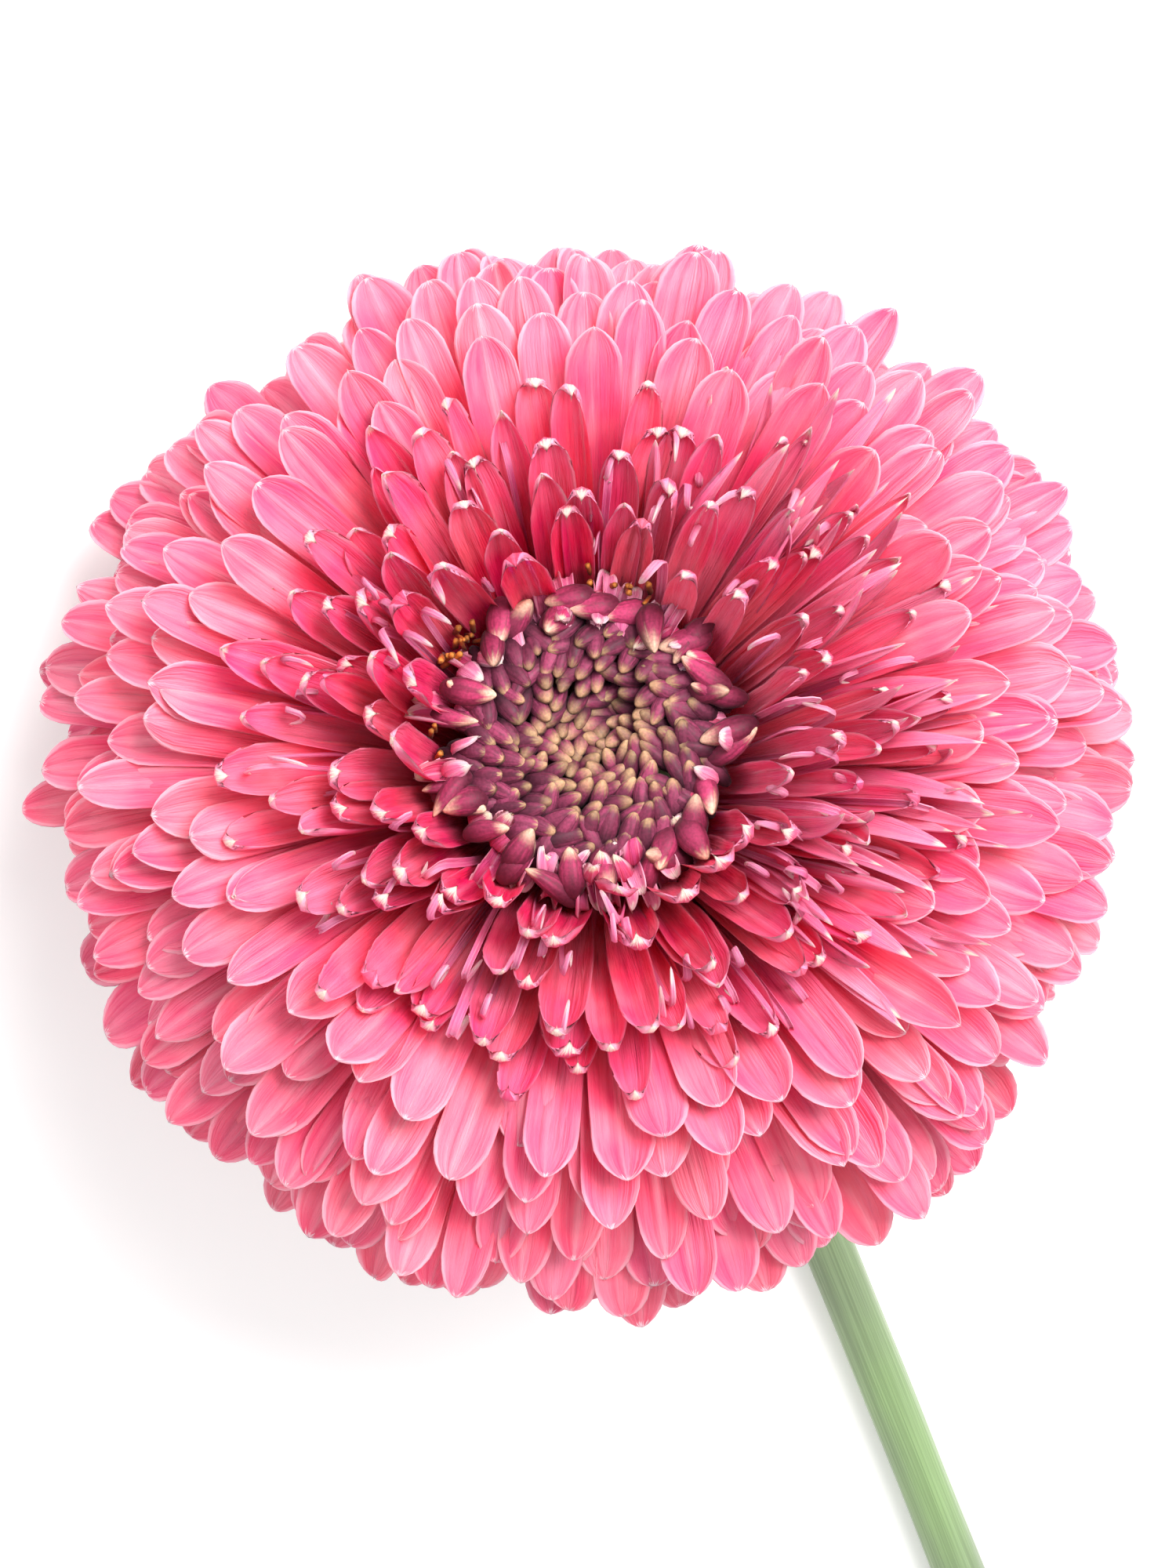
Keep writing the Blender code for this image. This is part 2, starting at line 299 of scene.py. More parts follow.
class Finish:
    """A Principled material and the nodes that drive its sockets."""

    def __init__(self, name, **values):
        self.material = bpy.data.materials.new(name)
        self.material.use_nodes = True
        self.tree = self.material.node_tree
        self.shader = self.tree.nodes["Principled BSDF"]
        for socket, value in values.items():
            self.shader.inputs[socket.replace("_", " ")].default_value = value

    def feed(self, socket, value):
        """Link an output to the socket, or set a plain value on it."""
        if isinstance(value, bpy.types.NodeSocket):
            self.tree.links.new(value, socket)
        elif isinstance(value, tuple) and len(value) == 3 and socket.type == "RGBA":
            socket.default_value = (*value, 1)
        else:
            socket.default_value = value

    def drive(self, socket, value):
        """Feed one of the shader's own sockets."""
        self.feed(self.shader.inputs[socket], value)

    def node(self, kind, output, *inputs, **settings):
        """Output of a new node with its settings, fed by (socket, value) pairs."""
        made = self.tree.nodes.new("ShaderNode" + kind)
        for name, value in settings.items():
            setattr(made, name, value)
        for socket, value in inputs:
            self.feed(made.inputs[socket], value)
        return made.outputs[output]

    def bloom(self):
        """Outputs of the bloom attribute: across, along, tone and shade."""
        attribute = self.tree.nodes.new("ShaderNodeAttribute")
        attribute.attribute_name = "bloom"
        split = self.tree.nodes.new("ShaderNodeSeparateColor")
        self.tree.links.new(attribute.outputs["Color"], split.inputs["Color"])
        return *split.outputs, attribute.outputs["Alpha"]

    def place(self):
        """Object coordinates."""
        return self.node("TexCoord", "Object")

    def stretched(self, across, across_scale, along, along_scale, seed):
        """Place on a strap with its own scale each way, moved off by seed."""
        place = (self.times(across, across_scale), self.times(along, along_scale), seed)
        return self.node("CombineXYZ", 0, *enumerate(place))

    def math(self, operation, first, second=0.0):
        """One arithmetic step."""
        return self.node("Math", 0, (0, first), (1, second), operation=operation)

    def times(self, first, second):
        """Product of two values."""
        return self.math("MULTIPLY", first, second)

    def plus(self, first, second):
        """Sum of two values."""
        return self.math("ADD", first, second)

    def less(self, first, second):
        """First value less the second."""
        return self.math("SUBTRACT", first, second)

    def spread(self, value, low, high, to_low=0.0, to_high=1.0):
        """Value carried from one range to another and held at its ends, with a smooth step."""
        inputs = enumerate((value, low, high, to_low, to_high))
        return self.node("MapRange", 0, *inputs, interpolation_type="SMOOTHSTEP")

    def noise(self, vector, scale, detail):
        """Noise from 0 to 1."""
        return self.node("TexNoise", "Fac", ("Vector", vector), ("Scale", scale), ("Detail", detail))

    def ramp(self, value, *stops):
        """Colour along a ramp of (place, colour) stops."""
        made = self.tree.nodes.new("ShaderNodeValToRGB")
        elements = made.color_ramp.elements
        while len(elements) < len(stops):
            elements.new(0.5)
        for element, (place, colour) in zip(elements, stops):
            element.position = place
            element.color = (*colour, 1)
        self.feed(made.inputs[0], value)
        return made.outputs["Color"]

    def mix(self, share, first, second):
        """Blend of two colours."""
        return self.node("Mix", 2, (0, share), (6, first), (7, second), data_type="RGBA")

    def shift(self, colour, hue, saturation, value):
        """Colour with its hue, saturation and value changed."""
        inputs = (("Hue", hue), ("Saturation", saturation), ("Value", value), ("Color", colour))
        return self.node("HueSaturation", "Color", *inputs)

    def bump(self, height, strength, distance):
        """Raise the surface by a height."""
        inputs = (("Strength", strength), ("Distance", distance), ("Height", height))
        self.drive("Normal", self.node("Bump", 0, *inputs))


def petal_finish(name, hues, streaks, rim_from, rim_most, rim_widening, cap_from):
    """Petal skin: a ramp from foot to tip, streaked veins, painted shade along two grooves, a painted
    highlight on the middle ridge, a pale rim and a papery cap.

    hues holds foot, middle, tip, vein, rim and cap, and streaks is the strength of the
    veins and the groove shade. The rim lies beyond rim_from of the half width, is rim_most strong and widens
    by rim_widening towards the tip. The cap covers what lies beyond cap_from, if that is less than 1. The
    shade of the bloom attribute darkens the whole: painted shade on undersides and on rows underneath."""
    finish = Finish(
        name, Subsurface_Weight=0.2, Subsurface_Radius=(0.0018, 0.0006, 0.0007), Subsurface_Scale=1.0,
        Sheen_Weight=0.03, Sheen_Roughness=0.4, Specular_IOR_Level=0.3,
    )
    across, along, tone, shade = finish.bloom()
    seed = finish.times(tone, 57.0)
    broad = finish.noise(finish.stretched(across, 6.0, along, 3.0, seed), 1.0, 3.0)
    fine = finish.noise(finish.stretched(across, 26.0, along, 8.0, seed), 1.0, 2.0)
    colour = finish.ramp(along, (0.3, hues["foot"]), (0.74, hues["middle"]), (1.0, hues["tip"]))
    both = finish.plus(finish.times(broad, 0.68), finish.times(fine, 0.32))
    edge = finish.math("ABSOLUTE", finish.less(finish.times(across, 2.0), 1.0))
    # Painted shade: the two groove lines are darkened in the same colour as the veins, as the creases would
    # be shaded. The noise streaks are the petal's own veins
    from_groove = finish.math("ABSOLUTE", finish.less(edge, GROOVE_PLACE))
    groove = finish.spread(from_groove, 0.0, 0.16, 1.0, 0.0)
    groove = finish.times(groove, finish.spread(broad, 0.3, 0.6))
    streak = finish.math("MAXIMUM", finish.times(finish.spread(both, 0.42, 0.6), 0.85), groove)
    colour = finish.mix(finish.times(streak, streaks), colour, hues["vein"])
    # Painted highlight: the middle ridge between the grooves is paled towards the rim colour
    ridge_highlight = finish.spread(edge, 0.0, 0.3, 0.3, 0.0)
    ridge_highlight = finish.times(ridge_highlight, finish.spread(along, 0.35, 0.75))
    ridge_highlight = finish.times(ridge_highlight, finish.spread(broad, 0.4, 0.65))
    colour = finish.mix(ridge_highlight, colour, hues["rim"])
    blush = finish.noise(finish.place(), 130.0, 2.0)
    # The value is multiplied by shade from the bloom attribute: painted shade on undersides and on rows that
    # lie underneath
    colour = finish.shift(
        colour,
        finish.spread(tone, 0, 1, 0.496, 0.504),
        finish.spread(blush, 0.3, 0.7, 0.94, 1.06),
        finish.times(finish.spread(tone, 0, 1, 0.9, 1.08), shade),
    )
    widened = finish.plus(edge, finish.spread(along, 0.8, 1.0, 0.0, rim_widening))
    towards_tip = finish.spread(along, 0.8, 1.0, 0.08, 1.0)
    rim_share = finish.times(finish.spread(widened, rim_from, 1.0), towards_tip)
    colour = finish.mix(finish.times(rim_share, rim_most), colour, hues["rim"])
    if cap_from < 1:
        frayed = finish.plus(along, finish.times(finish.less(fine, 0.5), 0.05))
        cap_share = finish.spread(frayed, cap_from, 0.5 * (1 + cap_from))
        inner = finish.spread(edge, 0.35, 0.85, 0.9, 0.2)
        colour = finish.mix(finish.times(cap_share, inner), colour, hues["cap"])
    finish.drive("Base Color", colour)
    finish.drive("Roughness", finish.spread(broad, 0.3, 0.7, 0.46, 0.66))
    finish.bump(finish.plus(fine, finish.times(broad, 1.5)), 0.6, 0.0004)
    return finish.material


def bud_finish(name, body, dark, tip, tip_most):
    """Velvety closed floret: dusky body with a creamy tip, with painted shade low on its sides and at its
    foot.
    """
    finish = Finish(
        name, Subsurface_Weight=0.15, Subsurface_Radius=(0.0010, 0.0005, 0.0005), Subsurface_Scale=1.0,
        Sheen_Weight=0.04, Sheen_Roughness=0.45, Specular_IOR_Level=0.3,
    )
    across, along, tone, shade = finish.bloom()
    speck = finish.noise(finish.place(), 3500.0, 2.0)
    seed = finish.times(tone, 41.0)
    streak = finish.noise(finish.stretched(across, 14.0, along, 1.0, seed), 1.0, 2.0)
    colour = finish.mix(finish.times(finish.spread(streak, 0.35, 0.65), 0.6), body, dark)
    # The dark streaks are the floret's own. The dark colour also serves as painted shade: the foot turns to
    # it, where the florets crowd together
    colour = finish.mix(finish.spread(along, 0.15, 0.66, 0.92, 0.0), colour, dark)
    reach = finish.plus(along, finish.times(finish.less(streak, 0.5), 0.35))
    tip_share = finish.spread(reach, finish.less(1.0, finish.times(shade, 0.6)), 1.0)
    colour = finish.mix(finish.times(tip_share, tip_most), colour, tip)
    speckle = finish.spread(speck, 0.3, 0.7, 0.84, 1.2)
    value = finish.times(finish.spread(tone, 0, 1, 0.75, 1.3), speckle)
    # Painted shade: sides that face down, away from W, are darkened so the gaps between florets look deep
    value = finish.times(value, finish.spread(across, 0.3, 0.9, 0.3, 1.1))
    colour = finish.shift(colour, 0.5, 1.0, value)
    finish.drive("Base Color", colour)
    finish.drive("Roughness", finish.spread(speck, 0.3, 0.7, 0.5, 0.72))
    finish.bump(finish.plus(speck, streak), 0.3, 0.0001)
    return finish.material


def green_finish(name, light, dark, tip, tip_from):
    """Green skin with fine lengthwise streaks, a waxy bloom and a coloured end."""
    finish = Finish(
        name, Subsurface_Weight=0.12, Subsurface_Radius=(0.0010, 0.0014, 0.0006), Subsurface_Scale=1.0,
        Sheen_Weight=0.3, Sheen_Roughness=0.5, Specular_IOR_Level=0.4,
    )
    across, along, tone, shade = finish.bloom()
    seed = finish.times(tone, 23.0)
    streak = finish.noise(finish.stretched(across, 46.0, along, 14.0, seed), 1.0, 3.0)
    patch = finish.noise(finish.place(), 45.0, 3.0)
    colour = finish.mix(finish.spread(streak, 0.35, 0.65), light, dark)
    if tip_from < 1:
        colour = finish.mix(finish.spread(along, tip_from, 1.0), colour, tip)
    vivid = finish.spread(patch, 0.3, 0.7, 0.88, 1.1)
    colour = finish.shift(colour, 0.5, vivid, finish.spread(patch, 0.3, 0.7, 0.88, 1.12))
    pith = finish.noise(finish.place(), 1800.0, 2.0)
    flesh = finish.mix(finish.spread(pith, 0.35, 0.65), (0.6, 0.66, 0.4), (0.36, 0.46, 0.22))
    colour = finish.mix(finish.spread(shade, 0.72, 0.95, 1.0, 0.0), colour, flesh)
    finish.drive("Base Color", colour)
    finish.drive("Roughness", finish.spread(streak, 0.3, 0.7, 0.42, 0.62))
    finish.bump(streak, 0.4, 0.0002)
    return finish.material


# ---------------------------------------------------------------- straps


def petal_route(tip_angle, stretch, lift):
    """Start, rise and tip of florets from their tip angles in degrees, as in the construction.

    The foot moves down the receptacle and the rise flattens as the tip angle grows."""
    seat = (FIRST_SEAT - SEAT_PER_TIP * (tip_angle - FIRST_TIP)) * DEGREE
    rise = (FIRST_RISE - RISE_PER_TIP * (tip_angle - FIRST_TIP)) * DEGREE
    start = seat_points(seat)
    tip = start + (dome_points(tip_angle) - start) * stretch[:, None]
    tip[:, 1] += lift
    return start, rise, tip


def width_profile(stations, widest, foot, point):
    """Half width along a strap as a share of the greatest, one row for each petal.

    It rises from foot by a quarter sine to the widest place and closes by (1 - c^2)^(point / 2)."""
    rising = foot + (1 - foot) * np.sin(0.5 * math.pi * np.minimum(stations / widest, 1))
    closing = np.clip((stations - widest) / (1 - widest), 0, 1)
    return rising * np.maximum(1 - closing ** 2, LEAST_WIDTH) ** (0.5 * point)


# What a strap has none of unless its shape says so. No strap reaches down to NO_FLOOR
NO_FLOOR = -1.0
PLAIN_STRAP = {"groove": 0.0, "rim": 0.0, "ripple": 0.0, "nib": 0.0, "twist": 0.0, "floor": NO_FLOOR}


def make_straps(route, azimuth, stations, loop, shape):
    """World points of straps, grown in the head's frame.

    shape holds half_width, thickness, point, curl, roll, bend and camber (positive where the edges rise),
    each as one value or one for each strap, and widest, foot and curl_from as one value. It may hold
    groove, rim, ripple, nib, twist and floor.

    A section's height is (camber + ripple times a sine along the strap) times across^2, plus rim times
    across^6, deeper at the tip, less two bell curves for the grooves, and half the thickness on each side,
    thinned at the edges by the root of 1 - across^6. The nib pushes three lobes at the tip outwards."""
    across, side = loop
    column = {
        key: np.broadcast_to(value, (len(azimuth),)).astype(float)[:, None]
        for key, value in {**PLAIN_STRAP, **shape}.items()
    }
    block = {key: value[:, :, None] for key, value in column.items()}
    line = middle_lines(*route, column["curl"], shape["curl_from"], stations)
    profile = width_profile(stations, shape["widest"], shape["foot"], column["point"])
    place = stations[:, None]
    spoon = 1 + 1.4 * smoothstep(place, 0.78, 0.98)
    groove = np.exp(-((np.abs(across) - GROOVE_PLACE) / GROOVE_SPREAD) ** 2)
    wave = np.sin(2 * math.pi * RIPPLES * place + 7.0 * azimuth[:, None, None] + 1.6 * np.sign(across))
    height = (block["camber"] + block["ripple"] * wave) * across ** 2
    height = height + block["rim"] * spoon * across ** 6 - block["groove"] * groove
    height = height * smoothstep(place, 0.1, 0.6) * profile[:, :, None]
    wall = 0.5 * block["thickness"] * side * np.sqrt(np.maximum(1 - across ** 6, 0))
    height = height + wall * np.minimum(profile[:, :, None] / 0.35, 1) ** 0.6
    lobes = np.exp(-(across / 0.25) ** 2) - 0.6 * np.exp(-((np.abs(across) - 0.45) / 0.2) ** 2)
    push = block["nib"] * smoothstep(place, 0.93, 1) * lobes
    roll = column["roll"] + column["twist"] * stations
    bend = column["bend"] * stations ** 2
    half_width = column["half_width"] * profile
    points = strap_points(line, azimuth, half_width, across, height, roll, bend, push)
    return rest_on_surface(points, block["floor"])


def painted_straps(rng, route, azimuth, stations, loop, shape, shade=1.0):
    """World points of straps and the values of their bloom attribute, with a random tone each."""
    points = make_straps(route, azimuth, stations, loop, shape)
    return points, bloom_paint(loop[0], stations, rng.uniform(0, 1, len(azimuth)), shade)


# Places along a strap, closer together towards its tip
RAY_STATIONS = np.array([
    0, 0.16, 0.31, 0.43, 0.53, 0.61, 0.68, 0.74, 0.79, 0.84, 0.88, 0.915, 0.945, 0.968, 0.985, 0.996, 1,
])
FLORET_STATIONS = np.array([
    0, 0.2, 0.38, 0.5, 0.6, 0.69, 0.77, 0.83, 0.88, 0.92, 0.945, 0.965, 0.98, 0.992, 1,
])
SLIM_STATIONS = np.array([
    0, 0.22, 0.4, 0.53, 0.63, 0.71, 0.77, 0.82, 0.86, 0.9, 0.93, 0.955, 0.975, 0.99, 1,
])
RAY_LOOP = section_loop(11, 5)
FLORET_LOOP = section_loop(9, 3)
SLIM_LOOP = section_loop(5, 3)


def uneven(azimuth, seed, size):
    """Slow unevenness round the head: a sum of four sines of whole periods with seeded phases."""
    phases = np.random.default_rng(seed).uniform(0, 2 * math.pi, 4)
    periods = np.array([3, 5, 7, 11])
    return size * np.sin(azimuth[:, None] * periods + phases).sum(axis=1) / 4


def floret_azimuths(first, count, rng, jitter):
    """Azimuths of florets first, first + 1 and so on, each a golden angle on from the last."""
    return (GOLDEN_ANGLE * (first + np.arange(count)) + rng.normal(0, jitter, count)) % (2 * math.pi)


# ---------------------------------------------------------------- settings


def size_setting(label, description, millimetres):
    """A length with its default in millimetres."""
    return FloatProperty(
        name=label, description=description, default=millimetres * MM, unit="LENGTH", precision=5
    )


def colour_setting(label, description, colour):
    """A linear colour."""
    return FloatVectorProperty(
        name=label, description=description, default=colour, subtype="COLOR", size=3, min=0, max=1
    )


class GERBERA_PG_sizes(bpy.types.PropertyGroup):
    """Counts and sizes of the flower's pieces"""

    ray_count: IntProperty(name="Ray petals", description="Long petals in all rows", default=400)
    ray_half_width: size_setting("Ray half width", "Half of a long petal's greatest width", 2.75)
    ray_thickness: size_setting("Ray thickness", "Thickness of a long petal", 0.42)
    floret_count: IntProperty(name="Crimson florets", description="Short florets round the eye", default=138)
    floret_half_width: size_setting("Floret half width", "Half of a short floret's width", 2.15)
    needle_count: IntProperty(name="Needle florets", description="Narrow florets on one side", default=72)
    bud_count: IntProperty(name="Buds", description="Closed florets of the eye", default=184)
    eye_radius: size_setting("Eye radius", "Radius of the closed florets' disc", 12.0)
    lip_count: IntProperty(name="Lips", description="Curled thread-like lips", default=90)
    curl_count: IntProperty(name="Rim lips", description="Curled lips on the rim of the eye", default=104)
    opening_count: IntProperty(name="Opening florets", description="Pointed florets of the rim", default=34)
    anther_count: IntProperty(name="Anthers", description="Amber tubes at the rim", default=24)
    stem_top_radius: size_setting("Stem top radius", "Radius of the stem below the head", 2.7)
    stem_cut_radius: size_setting("Stem cut radius", "Radius of the stem at its cut", 3.4)
    stem_sway: size_setting("Stem sway", "Sideways bow of the stem", 6.0)


class GERBERA_PG_colours(bpy.types.PropertyGroup):
    """Colours of the flower's finishes"""

    ray: colour_setting("Ray", "Middle of a long petal", (0.98, 0.122, 0.232))
    ray_foot: colour_setting("Ray foot", "Foot of a long petal", (0.99, 0.115, 0.21))
    ray_rim: colour_setting("Ray rim", "Rim of a long petal", (0.99, 0.6, 0.68))
    crimson: colour_setting("Crimson", "Short florets", (0.88, 0.06, 0.15))
    papery: colour_setting("Papery tip", "Dry tips of the short florets", (0.93, 0.7, 0.6))
    lilac: colour_setting("Lilac", "Lips and needle florets", (0.86, 0.15, 0.33))
    mauve: colour_setting("Mauve", "Closed florets", (0.215, 0.032, 0.08))
    stem: colour_setting("Stem", "Skin of the stem", (0.24, 0.35, 0.17))


def sizes():
    """The scene's sizes."""
    return bpy.context.scene.gerbera_sizes


def blend(first, second, share):
    """Colour that lies at that share of the way from the first to the second."""
    return tuple((1 - share) * a + share * b for a, b in zip(first, second))


def colours():
    """The scene's colours as plain tuples."""
    group = bpy.context.scene.gerbera_colours
    return {name: tuple(getattr(group, name)) for name in group.__annotations__}


# ---------------------------------------------------------------- pieces

# Numbers in the golden-angle spiral at which the crimson florets and the rays begin
FIRST_FLORET = 172
FIRST_RAY = 300
# Millimetres from the axis to the tips of the first and the last crimson florets
FLORET_REACH = (17.5, 37)
# Rows of rays, from the tip angle in degrees at which each begins to that at which it ends
RAY_ROWS = (
    ("front", 0, 57),
    ("middle", 57, 70),
    ("back", 70, 86),
    ("under", 86, 180),
)
RAYS_PER_ROW = 12
# Tip angles in degrees of the first ray, the last on the dome's front, and the last of all
RAY_TIPS = (42, 81, 112)
RAY_FRONT_SHARE = 0.74


class GERBERA_OT_rays(bpy.types.Operator):
    """Add the long ray petals: four rows, each in six pieces of two bundles opposite each other"""

    bl_idname = "gerbera.rays"
    bl_label = "Ray petals"

    def execute(self, context):
        rng = np.random.default_rng(11)
        count = sizes().ray_count
        order = (np.arange(count) + 0.5) / count
        azimuth = floret_azimuths(FIRST_RAY, count, rng, 1.6 * DEGREE)
        tip_angle = np.interp(order, (0, RAY_FRONT_SHARE, 1), RAY_TIPS) + rng.normal(0, 1.3, count)
        stretch = (1.0 + uneven(azimuth, 3, 0.05) + rng.normal(0, 0.018, count)).clip(0.94, 1.03)
        lift = rng.normal(2.0 * MM, 0.7 * MM, count)
        shape = dict(
            half_width=sizes().ray_half_width * rng.normal(1, 0.07, count), widest=0.89, foot=0.28,
            point=rng.uniform(1.05, 1.5, count), thickness=sizes().ray_thickness,
            camber=rng.normal(0.1, 0.6, count) * MM, groove=rng.uniform(0.28, 0.6, count) * MM,
            rim=0.22 * MM,
            curl=-0.15 - 0.42 * smoothstep(tip_angle, RAY_TIPS[0], 66) + rng.normal(0, 0.2, count),
            curl_from=0.45, roll=rng.normal(0, 7 * DEGREE, count), twist=rng.normal(0, 7 * DEGREE, count),
            bend=rng.normal(0, 1.1 * MM, count), ripple=rng.uniform(0, 0.3, count) * MM,
            nib=rng.uniform(-0.2, 0.25, count) * MM,
            floor=0.3 * MM + (RAY_TIPS[2] - tip_angle).clip(0, 40) * 0.05 * MM,
        )
        route = petal_route(tip_angle, stretch, lift)
        # Painted shade: rays that lie underneath the others darken with their tip angle, and every ray's
        # underside is darker still
        under_row_shade = 1 - 0.16 * smoothstep(tip_angle, 70, 100)
        shade = under_row_shade[:, None, None] * np.where(RAY_LOOP[1] < 0, 0.86, 1.0)
        points, paint = painted_straps(rng, route, azimuth, RAY_STATIONS, RAY_LOOP, shape, shade)
        hue = colours()
        hues = dict(
            foot=hue["ray_foot"], middle=hue["ray"], tip=(0.98, 0.2, 0.31), vein=(0.88, 0.065, 0.17),
            rim=hue["ray_rim"], cap=hue["ray_rim"],
        )
        front = petal_finish(
            "ray petal skin", hues, streaks=0.6, rim_from=0.88, rim_most=0.42, rim_widening=0.14,
            cap_from=0.99,
        )
        # The rows underneath take a darker copy of the skin: painted shade
        hues.update(middle=(0.93, 0.12, 0.22), tip=(0.95, 0.18, 0.29), vein=(0.78, 0.06, 0.15))
        dusky = petal_finish(
            "back petal skin", hues, streaks=0.55, rim_from=0.89, rim_most=0.38, rim_widening=0.14,
            cap_from=0.99,
        )
        for row_number, (row, low, high) in enumerate(RAY_ROWS):
            turned = azimuth / (2 * math.pi) * RAYS_PER_ROW - row_number / len(RAY_ROWS)
            sector = np.round(turned).astype(int) % RAYS_PER_ROW
            for k in range(RAYS_PER_ROW // 2):
                chosen = (tip_angle >= low) & (tip_angle < high) & (sector % (RAYS_PER_ROW // 2) == k)
                nodes = [f"ray_{row}_{number:02d}" for number in (k + 1, k + 1 + RAYS_PER_ROW // 2)]
                skin = dusky if row == "under" else front
                add_piece(f"{row}_rays_{k + 1}", points[chosen], paint[chosen], skin, nodes)
        return {"FINISHED"}


class GERBERA_OT_florets(bpy.types.Operator):
    """Add the short crimson florets with their hooded papery tips"""

    bl_idname = "gerbera.florets"
    bl_label = "Crimson florets"

    def execute(self, context):
        rng = np.random.default_rng(23)
        count = sizes().floret_count
        order = (np.arange(count) + 0.5) / count
        azimuth = floret_azimuths(FIRST_FLORET, count, rng, 3 * DEGREE)
        loose = smoothstep(np.cos(azimuth - LOOSE_SIDE), 0.45, 0.85)
        near, far = FLORET_REACH
        reach = np.sqrt(near ** 2 + (far ** 2 - near ** 2) * order) + rng.normal(0, 1.2, count)
        tip_angle = np.degrees(np.arcsin(reach / (DOME_RADIUS / MM)))
        stretch = 1 + uneven(azimuth, 5, 0.04) + rng.normal(0, 0.025, count) + 0.05 * loose
        lift = rng.normal(0, 0.8 * MM, count)
        shape = dict(
            half_width=sizes().floret_half_width * rng.normal(1, 0.1, count) * (1 - 0.3 * loose),
            widest=0.8, foot=0.42, point=rng.uniform(1.2, 1.8, count), thickness=0.4 * MM,
            camber=rng.uniform(0.1, 1.1, count) * MM, groove=rng.uniform(0.25, 0.5, count) * MM,
            rim=0.55 * MM, curl=rng.uniform(0.6, 3.4, count), curl_from=0.92,
            roll=rng.normal(0, 10 * DEGREE, count), twist=rng.normal(0, 14 * DEGREE, count),
            bend=rng.normal(0, 1.2 * MM, count), ripple=rng.uniform(0, 0.25, count) * MM,
            nib=rng.uniform(0.2, 0.6, count) * MM,
        )
        route = petal_route(tip_angle, stretch, lift)
        # Painted shade: the florets' undersides are darker
        shade = np.where(FLORET_LOOP[1] < 0, 0.9, 1.0)
        points, paint = painted_straps(rng, route, azimuth, FLORET_STATIONS, FLORET_LOOP, shape, shade)
        hue = colours()
        hues = dict(tip=(0.95, 0.12, 0.26), rim=(0.96, 0.3, 0.5), cap=hue["papery"])
        dry = rng.uniform(0, 1, count) < 0.9
        # Florets reach the paler, pinker rings outwards by their tip angle, which is their own colour, and
        # further on the loose side, where the lamp stands, which is painted light
        flush_and_lit_side = tip_angle + 26 * loose
        rings = (("inner", 0, 27, 0.0), ("middle", 27, 34, 0.45), ("outer", 34, 90, 1.0))
        for ring, low, high, flush in rings:
            hues["foot"] = blend((0.74, 0.03, 0.09), hue["ray_foot"], flush)
            hues["middle"] = blend(hue["crimson"], hue["ray"], flush)
            hues["vein"] = blend((0.56, 0.02, 0.072), (0.87, 0.06, 0.155), flush)
            ring_share = (flush_and_lit_side >= low) & (flush_and_lit_side < high)
            for word, cap_from, part in (("fresh", 1.0, ~dry), ("dry", 0.952, dry)):
                pick = ring_share & part
                skin = petal_finish(
                    f"{word} {ring} floret skin", hues, streaks=0.8 - 0.3 * flush, rim_from=0.86,
                    rim_most=0.75, rim_widening=0.32, cap_from=cap_from,
                )
                nodes = [f"{ring}_florets"] if word == "fresh" else []
                add_piece(f"{ring}_florets_{word}", points[pick], paint[pick], skin, nodes)
        return {"FINISHED"}


class GERBERA_OT_needles(bpy.types.Operator):
    """Add the narrow folded florets that stand among the petals on one side"""

    bl_idname = "gerbera.needles"
    bl_label = "Needle florets"

    def execute(self, context):
        rng = np.random.default_rng(37)
        count = sizes().needle_count
        azimuth = rng.uniform(*NEEDLE_SIDE, count)
        tip_angle = rng.uniform(28, 50, count)
        shape = dict(
            half_width=rng.uniform(0.55, 1.45, count) * MM, widest=0.72, foot=0.6,
            point=rng.uniform(1.4, 2.2, count), thickness=0.35 * MM,
            camber=rng.uniform(0.5, 1.3, count) * MM, curl=rng.normal(0.2, 0.5, count), curl_from=0.7,
            roll=rng.normal(0, 35 * DEGREE, count), twist=rng.normal(0, 40 * DEGREE, count),
            bend=rng.normal(0, 2.5 * MM, count),
        )
        route = petal_route(tip_angle, rng.normal(1.0, 0.04, count), rng.uniform(1.5, 4.0, count) * MM)
        points, paint = painted_straps(rng, route, azimuth, SLIM_STATIONS, SLIM_LOOP, shape)
        hue = colours()
        hues = dict(
            foot=(0.9, 0.07, 0.19), middle=(0.98, 0.16, 0.31), tip=(0.98, 0.3, 0.45),
            vein=(0.86, 0.08, 0.26), rim=hue["lilac"], cap=(0.95, 0.82, 0.66),
        )
        skin = petal_finish(
            "needle floret skin", hues, streaks=0.4, rim_from=0.75, rim_most=0.7, rim_widening=0.1,
            cap_from=0.955,
        )
        add_piece("needle_florets", points, paint, skin)
        return {"FINISHED"}


def lip_hues():
    """Colours of the thread-like lips: lilac pink that pales to white."""
    return dict(
        foot=(0.5, 0.03, 0.1), middle=colours()["lilac"], tip=(0.93, 0.32, 0.48), vein=(0.7, 0.09, 0.26),
        rim=(0.97, 0.62, 0.72), cap=(0.95, 0.76, 0.7),
    )


